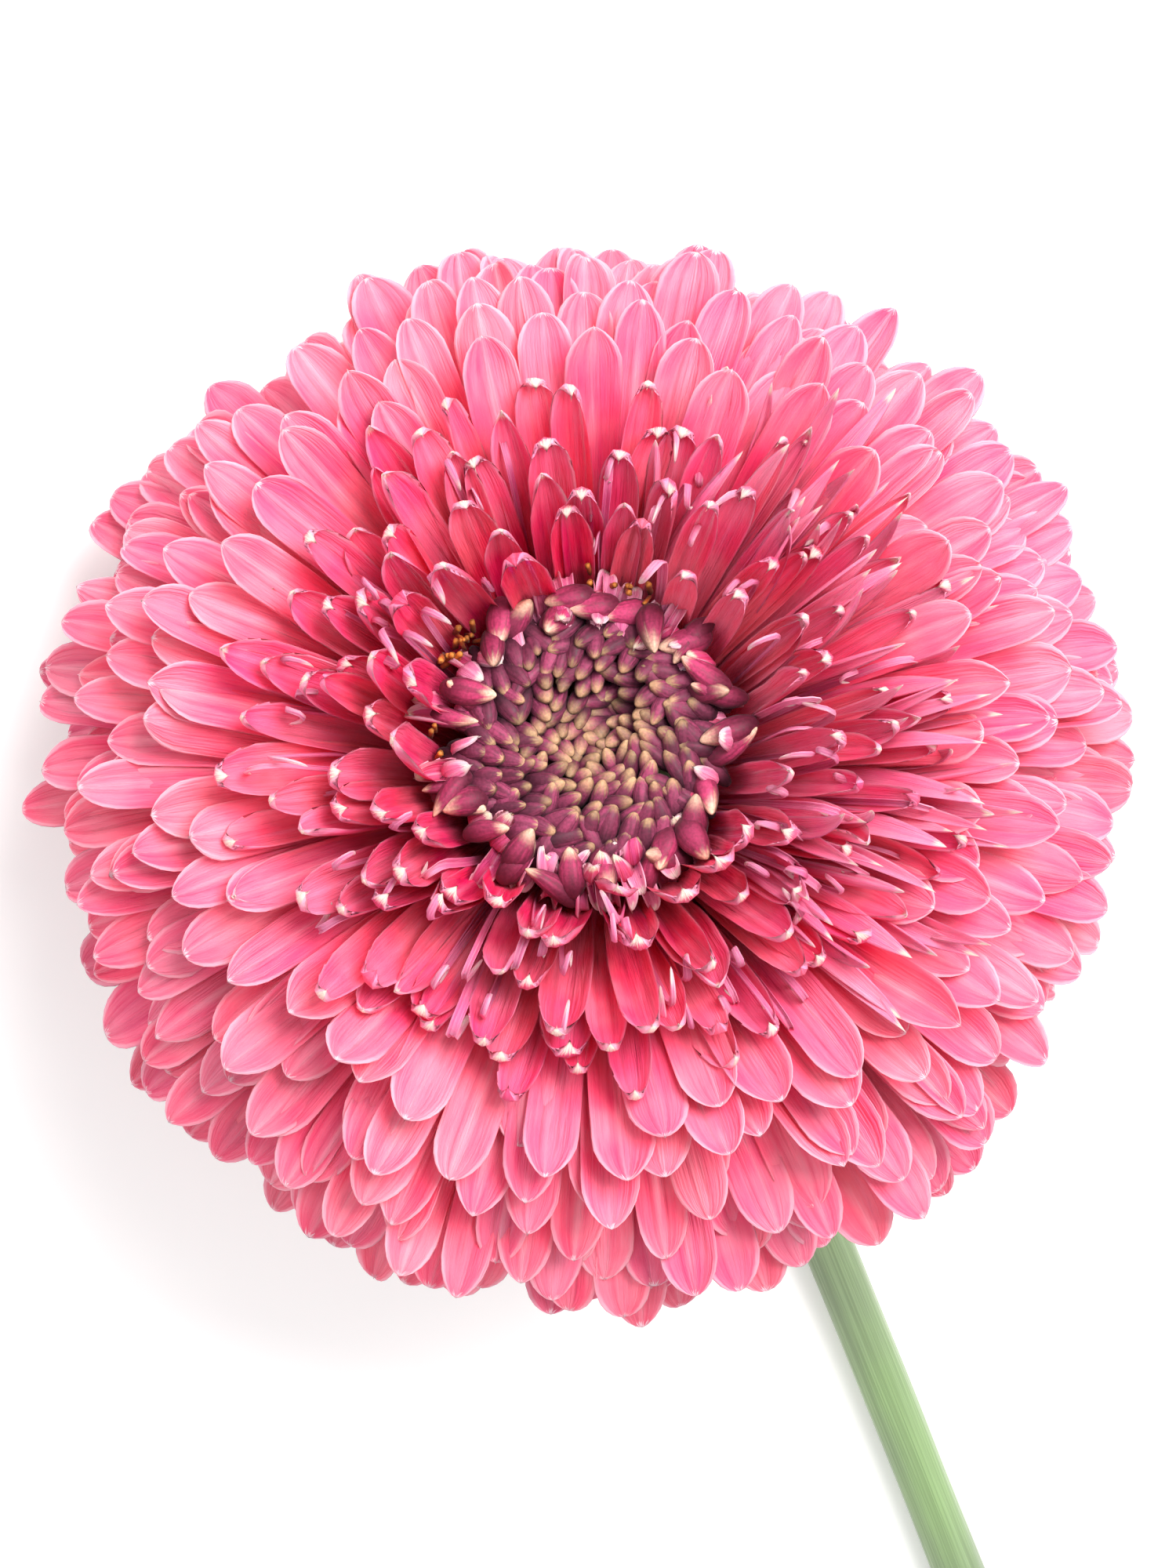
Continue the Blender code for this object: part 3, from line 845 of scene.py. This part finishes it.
class GERBERA_OT_lips(bpy.types.Operator):
    """Add the thread-like curled lips beside the short florets"""

    bl_idname = "gerbera.lips"
    bl_label = "Curled lips"

    def execute(self, context):
        rng = np.random.default_rng(41)
        count = sizes().lip_count
        azimuth = rng.uniform(0, 2 * math.pi, count)
        tip_angle = rng.uniform(19, 40, count)
        shape = dict(
            half_width=rng.uniform(0.26, 0.56, count) * MM, widest=0.84, foot=0.35, point=1.2,
            thickness=0.2 * MM, camber=rng.uniform(0.0, 0.4, count) * MM, groove=0.16 * MM,
            curl=rng.uniform(2.6, 5.6, count) * rng.choice([1, 1, 1, -1], count), curl_from=0.78,
            roll=rng.normal(0, 25 * DEGREE, count), twist=rng.normal(0, 30 * DEGREE, count),
            bend=rng.normal(0, 1.8 * MM, count),
        )
        route = petal_route(tip_angle, rng.normal(1.02, 0.04, count), rng.uniform(0.3, 2.2, count) * MM)
        points, paint = painted_straps(rng, route, azimuth, SLIM_STATIONS, FLORET_LOOP, shape)
        skin = petal_finish(
            "lip skin", lip_hues(), streaks=0.6, rim_from=0.72, rim_most=0.6, rim_widening=0.2,
            cap_from=0.93,
        )
        add_piece("curled_lips", points, paint, skin)
        return {"FINISHED"}


# Heights of the eye's rim and hollow, how far out each ends, and how fast the rim turns down
EYE_RIM_W = 17.2 * MM
EYE_HOLLOW_W = 14.6 * MM
EYE_BOWL_RADIUS = 9 * MM
EYE_CREST_RADIUS = 9.5 * MM
EYE_FALL = 0.16
# Places along a closed floret, and its radius there as a share of the greatest
BUD_STATIONS = np.array([0, 0.08, 0.25, 0.45, 0.65, 0.82, 0.93, 0.985, 1])
BUD_PROFILE = np.array([0.35, 0.62, 0.9, 1.0, 0.96, 0.78, 0.5, 0.24, 0.05])
FLAME_PROFILE = np.array([0.3, 0.62, 0.92, 1.0, 0.86, 0.6, 0.36, 0.16, 0.03])
ANTHER_PROFILE = np.array([0.7, 0.9, 1.0, 0.8, 1.05, 0.85, 1.0, 0.6, 0.1])
# The opening florets' ring, in millimetres: nearest and farthest from the axis, height of the nearest
OPENING_NEAR = 11.8
OPENING_FAR = 13.9
OPENING_HEIGHT = 18.1
# The one deep dimple in the eye
DIMPLE_PLACE = np.array([4.2, 2.4]) * MM
DIMPLE_DEPTH = 3.2 * MM
DIMPLE_RADIUS = 1.7 * MM


def eye_height(x, y):
    """Height of the eye's surface: a shallow bowl that turns down past its rim, with one deep dimple."""
    rho = np.hypot(x, y)
    bowl = EYE_HOLLOW_W + (EYE_RIM_W - EYE_HOLLOW_W) * smoothstep(rho, 0, EYE_BOWL_RADIUS)
    fall = EYE_FALL * np.maximum(rho - EYE_CREST_RADIUS, 0) ** 2 / MM
    away = (x - DIMPLE_PLACE[0]) ** 2 + (y - DIMPLE_PLACE[1]) ** 2
    return bowl - fall - DIMPLE_DEPTH * np.exp(-away / (2 * DIMPLE_RADIUS ** 2))


def lean_axes(azimuth, lean, swirl):
    """Unit axes that lean from W towards the middle, turned sideways by swirl, and a side vector each."""
    outward = polar(1, azimuth, 0)
    flat = np.sin(swirl)[:, None] * np.cross(UP, outward) - np.cos(swirl)[:, None] * outward
    axis = np.sin(lean)[:, None] * flat + np.cos(lean)[:, None] * UP
    side = np.cross(flat, UP)
    return axis, side / np.linalg.norm(side, axis=1)[:, None]


def painted_buds(rng, foot, axis, side, length, radius, profile, around, ribs, tip_share, hook=0.0):
    """World points of closed capsules and the values of their bloom attribute, with a random tone each.

    Circles stand along the axis. Their radius follows profile, with three ribs, and hook moves them to the
    side by the square of the place along. Place across says how far each side faces along W, and the finish
    turns it into painted shade on the sides that face down."""
    turn = -2 * math.pi * np.arange(around) / around
    third = np.cross(axis, side)
    ring = np.cos(turn)[:, None] * side[:, None, :] + np.sin(turn)[:, None] * third[:, None, :]
    swell = 1 + ribs * np.cos(3 * turn)
    size = radius[:, None, None] * profile[None, :, None] * swell
    centre = foot[:, None, :] + (length[:, None] * BUD_STATIONS)[..., None] * axis[:, None, :]
    points = centre[:, :, None, :] + size[..., None] * ring[:, None, :, :]
    hooked = np.broadcast_to(hook, length.shape)[:, None] * BUD_STATIONS ** 2
    points = points + hooked[:, :, None, None] * side[:, None, None, :]
    tone = rng.uniform(0, 1, len(length))
    return head_to_world(points), bloom_paint(ring[:, None, :, 2], BUD_STATIONS, tone, tip_share)


class GERBERA_OT_eye(bpy.types.Operator):
    """Add the eye of closed florets, packed in a golden-angle spiral"""

    bl_idname = "gerbera.eye"
    bl_label = "Eye"

    def execute(self, context):
        rng = np.random.default_rng(53)
        count = sizes().bud_count
        azimuth = floret_azimuths(0, count, rng, 2.5 * DEGREE)
        share = ((np.arange(count) + 0.5) / count) ** 0.56
        rho = sizes().eye_radius * share + rng.normal(0, 0.25 * MM, count)
        x = rho * np.cos(azimuth)
        y = rho * np.sin(azimuth)
        lean = (56 + 8 * smoothstep(share, 0, 0.6)) * DEGREE + rng.normal(0, 9 * DEGREE, count)
        swirl = (30 + 30 * (1 - share) + rng.normal(0, 18 + 26 * (1 - share), count)) * DEGREE
        axis, side = lean_axes(azimuth, lean, swirl)
        length = (3.5 + 1.5 * share) * MM * rng.normal(1, 0.1, count)
        radius = (0.8 + 0.28 * share ** 1.4) * MM * rng.normal(1, 0.08, count)
        middle = np.stack([x, y, eye_height(x, y)], axis=1)
        foot = middle - 0.55 * length[:, None] * axis
        # Painted light: buds take more of their creamy tip towards the loose side, where the lamp stands,
        # and less on the far side
        lit_side_paling = 0.12 * share * np.cos(azimuth - LOOSE_SIDE)
        tip_share = 0.22 + 0.85 * (1 - share) ** 1.6 + lit_side_paling + 0.12 * rng.uniform(-1, 1, count)
        tip_share = tip_share.clip(0.1, 1)[:, None, None]
        points, paint = painted_buds(
            rng, foot, axis, side, length, radius, BUD_PROFILE, around=12, ribs=0.04, tip_share=tip_share
        )
        mauve = colours()["mauve"]
        # The dark colour serves the buds' streaks and also their painted shade at the foot and on the lower
        # sides
        skin = bud_finish(
            "closed floret skin", mauve, dark=(0.022, 0.003, 0.009), tip=(0.45, 0.3, 0.15), tip_most=0.7
        )
        add_piece("eye_buds", points, paint, skin, ["disc_florets"])
        return {"FINISHED"}


class GERBERA_OT_rim(bpy.types.Operator):
    """Add the opening florets round the eye, with their anthers"""

    bl_idname = "gerbera.rim"
    bl_label = "Opening florets"

    def execute(self, context):
        rng = np.random.default_rng(61)
        count = sizes().opening_count
        azimuth = floret_azimuths(0, count, rng, 5 * DEGREE)
        rho = rng.uniform(OPENING_NEAR, OPENING_FAR, count) * MM
        lean = rng.uniform(48, 84, count) * DEGREE
        swirl = rng.choice([0.0, 180.0], count, p=[0.65, 0.35]) * DEGREE + rng.normal(20, 32, count) * DEGREE
        axis, side = lean_axes(azimuth, lean, swirl)
        length = rng.uniform(4.4, 6.2, count) * MM
        radius = rng.uniform(1.1, 1.6, count) * MM
        height = OPENING_HEIGHT * MM - 0.35 * (rho - OPENING_NEAR * MM) + rng.normal(0, 0.4, count) * MM
        foot = polar(rho, azimuth, height) - 0.5 * length[:, None] * axis
        hook = rng.normal(0, 1.1, count) * MM
        tip_share = rng.uniform(0.25, 0.7, count)[:, None, None]
        points, paint = painted_buds(
            rng, foot, axis, side, length, radius, FLAME_PROFILE, around=12, ribs=0.06,
            tip_share=tip_share, hook=hook,
        )
        # The dark colour serves the florets' streaks and also their painted shade at the foot and on the
        # lower sides
        skin = bud_finish(
            "opening floret skin", (0.35, 0.031, 0.1), dark=(0.08, 0.007, 0.022), tip=(0.84, 0.58, 0.4),
            tip_most=0.75,
        )
        add_piece("opening_florets", points, paint, skin)
        return {"FINISHED"}


class GERBERA_OT_curls(bpy.types.Operator):
    """Add the short curled lips that stand on the rim of the eye, most of them on one side"""

    bl_idname = "gerbera.curls"
    bl_label = "Rim lips"

    def execute(self, context):
        rng = np.random.default_rng(67)
        count = sizes().curl_count
        azimuth = rng.uniform(0, 2 * math.pi, count)
        azimuth[::3] = rng.uniform(10, 100, len(azimuth[::3])) * DEGREE
        azimuth[1::4] = rng.uniform(140, 270, len(azimuth[1::4])) * DEGREE
        start = seat_points(np.full(count, 48 * DEGREE))
        tip = np.stack([rng.uniform(12.6, 16.2, count), rng.uniform(18.0, 20.8, count)], axis=1) * MM
        plain = rng.uniform(0, 1, count) < 0.45
        shape = dict(
            half_width=np.where(plain, rng.uniform(0.9, 1.4, count), rng.uniform(0.7, 1.25, count)) * MM,
            widest=0.88, foot=0.35, point=rng.uniform(0.8, 1.5, count), thickness=0.25 * MM,
            camber=rng.uniform(0.2, 0.9, count) * MM, groove=0.16 * MM,
            rim=np.where(plain, 0.3, 0.0) * MM,
            curl=rng.uniform(1.2, 4.2, count) * rng.choice([-1, 1, 1], count), curl_from=0.74,
            roll=rng.normal(0, 18 * DEGREE, count), twist=rng.normal(0, 25 * DEGREE, count),
            bend=rng.normal(0, 1.3 * MM, count), ripple=0.1 * MM, nib=rng.uniform(0.0, 0.35, count) * MM,
        )
        route = (start, np.full(count, 82 * DEGREE), tip)
        points, paint = painted_straps(rng, route, azimuth, FLORET_STATIONS, FLORET_LOOP, shape)
        hues = lip_hues()
        # Painted shade: the rim lips' feet and middles are darkened for the deep gap round the eye's rim
        hues.update(foot=(0.4, 0.02, 0.07), middle=(0.78, 0.105, 0.265), tip=(0.91, 0.27, 0.43))
        lip_skin = petal_finish(
            "rim lip skin", hues, streaks=0.6, rim_from=0.76, rim_most=0.7, rim_widening=0.2,
            cap_from=0.95,
        )
        # The short florets' dark crimson is partly their own colour and partly painted shade of that gap,
        # darkest at the foot
        hues.update(foot=(0.3, 0.015, 0.05), middle=(0.38, 0.018, 0.055))
        hues.update(tip=(0.68, 0.08, 0.19), cap=(0.92, 0.76, 0.56))
        short_skin = petal_finish(
            "short floret skin", hues, streaks=0.7, rim_from=0.86, rim_most=0.6, rim_widening=0.3,
            cap_from=0.95,
        )
        add_piece("rim_lips", points[~plain], paint[~plain], lip_skin)
        add_piece("short_florets", points[plain], paint[plain], short_skin)
        return {"FINISHED"}


class GERBERA_OT_anthers(bpy.types.Operator):
    """Add the few amber anther tubes that show at the rim of the eye"""

    bl_idname = "gerbera.anthers"
    bl_label = "Anthers"

    def execute(self, context):
        rng = np.random.default_rng(73)
        count = sizes().anther_count
        azimuth = rng.uniform(108, 165, count) * DEGREE
        azimuth[::3] = rng.uniform(40, 66, len(azimuth[::3])) * DEGREE
        rho = rng.uniform(14.2, 16.4, count) * MM
        axis, side = lean_axes(azimuth, rng.normal(0, 22, count) * DEGREE, rng.normal(0, 60, count) * DEGREE)
        length = rng.uniform(2.4, 4.0, count) * MM
        height = rng.uniform(14.2, 16.0, count) * MM
        foot = polar(rho, azimuth, height)
        radius = rng.uniform(0.2, 0.34, count) * MM
        points, paint = painted_buds(
            rng, foot, axis, side, length, radius, ANTHER_PROFILE, around=8, ribs=0.12, tip_share=0.4
        )
        # The dark colour serves the anthers' streaks and also their painted shade at the foot and on the
        # lower sides
        skin = bud_finish(
            "anther skin", (0.6, 0.14, 0.02), dark=(0.24, 0.04, 0.01), tip=(0.78, 0.32, 0.06), tip_most=0.6
        )
        add_piece("anthers", points, paint, skin)
        return {"FINISHED"}


class GERBERA_OT_involucre(bpy.types.Operator):
    """Add the cup of green bracts under the petals and finish the receptacle"""

    bl_idname = "gerbera.involucre"
    bl_label = "Involucre"

    def execute(self, context):
        rng = np.random.default_rng(71)
        skin = green_finish(
            "bract skin", light=(0.2, 0.32, 0.12), dark=(0.11, 0.19, 0.07), tip=(0.36, 0.16, 0.14),
            tip_from=0.75,
        )
        for name, count, seat_angle, rise_angle, tip_mm in (
            ("inner_bracts", 34, -40, 30, (25, -8.2)),
            ("outer_bracts", 26, -57, 12, (18.5, -13.2)),
        ):
            azimuth = (np.arange(count) + rng.uniform(-0.25, 0.25, count)) * 2 * math.pi / count
            start = seat_points(np.full(count, seat_angle * DEGREE))
            stretch = rng.normal(1, 0.05, count)[:, None]
            tip = start + (np.array(tip_mm) * MM - start) * stretch
            shape = dict(
                half_width=rng.normal(1.9, 0.15, count) * MM, widest=0.5, foot=0.75, point=1.6,
                thickness=0.5 * MM, camber=-0.35 * MM, curl=rng.normal(0.1, 0.2, count), curl_from=0.5,
                roll=rng.normal(0, 6 * DEGREE, count), bend=rng.normal(0, 0.5 * MM, count),
                floor=0.3 * MM,
            )
            route = (start, np.full(count, rise_angle * DEGREE), tip)
            points, paint = painted_straps(rng, route, azimuth, SLIM_STATIONS, FLORET_LOOP, shape)
            add_piece(name + "_cup", points, paint, skin, [name])
        flesh = Finish("receptacle flesh", Subsurface_Weight=0.1)
        speck = flesh.noise(flesh.place(), 260.0, 3.0)
        flesh.drive("Base Color", flesh.mix(speck, (0.18, 0.3, 0.1), (0.34, 0.42, 0.2)))
        flesh.drive("Roughness", flesh.spread(speck, 0.3, 0.7, 0.5, 0.7))
        flesh.bump(speck, 0.3, 0.0003)
        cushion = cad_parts["receptacle"]
        cushion.data.materials.clear()
        cushion.data.materials.append(flesh.material)
        return {"FINISHED"}


STEM_SWAY_START = 55 * MM
STEM_STEPS = 230
STEM_AROUND = 40
STEM_FLARE = 0.35
STEM_FLARE_LENGTH = 0.012
# The cut end: rings of the face as shares of the stem's radius, and how far each stands out
CUT_RADIUS = np.array([0.975, 0.92, 0.8, 0.6, 0.4, 0.2, 0.03])
CUT_BULGE = np.array([0.12, 0.2, 0.18, 0.12, 0.1, 0.12, 0.12]) * MM


def stem_route(count):
    """Centre line and radius of the stem: an arc from the neck down to the surface, then along it.

    The arc ends level. The stem swings out to one side in its first part by half a cosine wave, and back
    by another over all the rest."""
    group = sizes()
    neck_w = RECEPTACLE_WAIST + RECEPTACLE_DEPTH * math.sin(NECK_ANGLE) - SEAT_GAP
    start = HEAD_ORIGIN + neck_w * HEAD_W
    dive = math.asin(HEAD_W[2])
    bend_radius = (start[2] - group.stem_top_radius) / (1 - math.cos(dive))
    bend_length = bend_radius * dive
    run = start[1] - bend_radius * math.sin(dive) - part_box("stem")[0].y
    length = np.linspace(0, bend_length + run, count)
    turn = np.minimum(length, bend_length) / bend_radius
    along_run = np.maximum(length - bend_length, 0)
    share = along_run / run
    radius = group.stem_top_radius + (group.stem_cut_radius - group.stem_top_radius) * share
    y = start[1] - bend_radius * (math.sin(dive) - np.sin(dive - turn)) - along_run
    z = start[2] - bend_radius * (np.cos(dive - turn) - math.cos(dive)) + radius - group.stem_top_radius
    outward = np.cos(math.pi * np.minimum(length / STEM_SWAY_START, 1))
    x = start[0] + group.stem_sway * 0.5 * (np.cos(math.pi * share) - outward)
    return np.stack([x, y, z], axis=1), radius


class GERBERA_OT_stem(bpy.types.Operator):
    """Add the stem with its faint ribs and its cut end"""

    bl_idname = "gerbera.stem"
    bl_label = "Stem"

    def execute(self, context):
        route, radius = stem_route(STEM_STEPS)
        forward = np.gradient(route, axis=0)
        forward /= np.linalg.norm(forward, axis=1)[:, None]
        cut_place = CUT_BULGE[:, None] * forward[-1]
        cut_forward = np.repeat(forward[-1:], len(CUT_RADIUS), axis=0)
        length = np.linspace(0, 1, STEM_STEPS)
        # The stem swells a little by two sines along it, and the ribs are two cosines round it
        swell = 1 + 0.012 * np.sin(31 * length) + 0.008 * np.sin(77 * length + 2)
        flare = 1 + STEM_FLARE * np.exp(-length / STEM_FLARE_LENGTH)
        size = np.concatenate([radius * swell * flare, radius[-1] * CUT_RADIUS])
        turn = 2 * math.pi * np.arange(STEM_AROUND) / STEM_AROUND
        ribs = 1 + 0.016 * np.cos(9 * turn) + 0.008 * np.cos(5 * turn + 1)
        points = tube_points(
            np.concatenate([route, route[-1] + cut_place]),
            np.concatenate([forward, cut_forward]),
            size[:, None] * ribs,
        )
        stations = np.concatenate([length, np.ones(len(CUT_RADIUS))])
        cut = np.concatenate([np.ones(STEM_STEPS), CUT_RADIUS])[None, :, None]
        paint = bloom_paint(np.cos(turn), stations, np.array([0.5]), cut)
        green = colours()["stem"]
        skin = green_finish(
            "stem skin", green, dark=blend(green, (0.03, 0.06, 0.01), 0.3), tip=green, tip_from=1
        )
        add_piece("flower_stem", points, paint, skin, ["stem"])
        return {"FINISHED"}


CAMERA_LEAN = 9 * DEGREE
CAMERA_TURN = 25.5 * DEGREE
CAMERA_DISTANCE = 0.4
FRAME_WIDTH = 0.1108
SENSOR_WIDTH = 24
AIM_BELOW_EYE = 3.8 * MM
# The lamp's place from the eye, in metres to the right, up and towards the camera
KEY_PLACE = (0.27, 0.25, 0.53)
KEY_SIZE = 0.4
KEY_POWER = 6.9
ROOM_STRENGTH = 0.88
FLOOR_GLOW = 0.16


def soft_light(name, place, target, size, power, colour):
    """Square area light that faces the target."""
    lamp = bpy.data.lights.new(name, "AREA")
    lamp.size = size
    lamp.energy = power
    lamp.color = colour
    holder = bpy.data.objects.new(name, lamp)
    bpy.context.scene.collection.objects.link(holder)
    holder.location = place
    holder.rotation_euler = (Vector(target) - Vector(place)).to_track_quat("-Z", "Y").to_euler()


class GERBERA_OT_stage(bpy.types.Operator):
    """Add the pale floor, the soft light and the camera"""

    bl_idname = "gerbera.stage"
    bl_label = "Stage"

    def execute(self, context):
        scene = context.scene
        bpy.ops.mesh.primitive_plane_add(size=80, location=(0, 0, 0))
        floor = context.object
        floor.name = "pale_floor"
        paper = Finish(
            "pale floor", Base_Color=(0.98, 0.98, 0.98, 1), Roughness=0.9,
            Emission_Color=(1.0, 1.0, 1.0, 1), Emission_Strength=FLOOR_GLOW,
        )
        floor.data.materials.append(paper.material)
        world = bpy.data.worlds.new("soft room")
        world.use_nodes = True
        background = world.node_tree.nodes["Background"]
        background.inputs["Color"].default_value = (1, 1, 1, 1)
        background.inputs["Strength"].default_value = ROOM_STRENGTH
        scene.world = world
        scene.view_settings.view_transform = "Standard"
        eye = HEAD_ORIGIN + EYE_RIM_W * HEAD_W
        across = math.cos(CAMERA_TURN) * HEAD_V + math.sin(CAMERA_TURN) * HEAD_U
        view = math.cos(CAMERA_LEAN) * HEAD_W - math.sin(CAMERA_LEAN) * across
        up = math.sin(CAMERA_LEAN) * HEAD_W + math.cos(CAMERA_LEAN) * across
        right = np.cross(up, view)
        aim = eye - AIM_BELOW_EYE * up
        place = aim + CAMERA_DISTANCE * view
        lamp_place = eye + KEY_PLACE[2] * view + KEY_PLACE[1] * up + KEY_PLACE[0] * right
        soft_light("key_light", tuple(lamp_place), tuple(eye), KEY_SIZE, KEY_POWER, (1.0, 0.98, 0.96))
        lens = bpy.data.cameras.new("camera")
        lens.sensor_fit = "HORIZONTAL"
        lens.sensor_width = SENSOR_WIDTH
        lens.lens = SENSOR_WIDTH * CAMERA_DISTANCE / FRAME_WIDTH
        lens.clip_start = 0.01
        camera = bpy.data.objects.new("camera", lens)
        scene.collection.objects.link(camera)
        turn = Matrix((right, up, view)).transposed()
        camera.matrix_world = Matrix.Translation(place) @ turn.to_4x4()
        scene.camera = camera
        return {"FINISHED"}


OPERATORS = (
    GERBERA_OT_stage,
    GERBERA_OT_stem,
    GERBERA_OT_involucre,
    GERBERA_OT_rays,
    GERBERA_OT_florets,
    GERBERA_OT_needles,
    GERBERA_OT_lips,
    GERBERA_OT_rim,
    GERBERA_OT_curls,
    GERBERA_OT_anthers,
    GERBERA_OT_eye,
)


class GERBERA_PT_panel(bpy.types.Panel):
    """Buttons for the flower's pieces"""

    bl_idname = "GERBERA_PT_panel"
    bl_label = "Gerbera"
    bl_space_type = "VIEW_3D"
    bl_region_type = "UI"
    bl_category = "Gerbera"

    def draw(self, context):
        for operator in OPERATORS:
            self.layout.operator(operator.bl_idname)


CLASSES = (GERBERA_PG_sizes, GERBERA_PG_colours, GERBERA_PT_panel) + OPERATORS


def register():
    """Register the classes and hang the settings on the scene."""
    for item in CLASSES:
        bpy.utils.register_class(item)
    bpy.types.Scene.gerbera_sizes = PointerProperty(type=GERBERA_PG_sizes)
    bpy.types.Scene.gerbera_colours = PointerProperty(type=GERBERA_PG_colours)


def unregister():
    """Take the settings and the classes away again."""
    del bpy.types.Scene.gerbera_colours
    del bpy.types.Scene.gerbera_sizes
    for item in reversed(CLASSES):
        bpy.utils.unregister_class(item)


def main():
    """Build every piece."""
    register()
    bpy.ops.gerbera.stage()
    bpy.ops.gerbera.stem()
    bpy.ops.gerbera.involucre()
    bpy.ops.gerbera.rays()
    bpy.ops.gerbera.florets()
    bpy.ops.gerbera.needles()
    bpy.ops.gerbera.lips()
    bpy.ops.gerbera.rim()
    bpy.ops.gerbera.curls()
    bpy.ops.gerbera.anthers()
    bpy.ops.gerbera.eye()


if __name__ == "__main__":
    main()
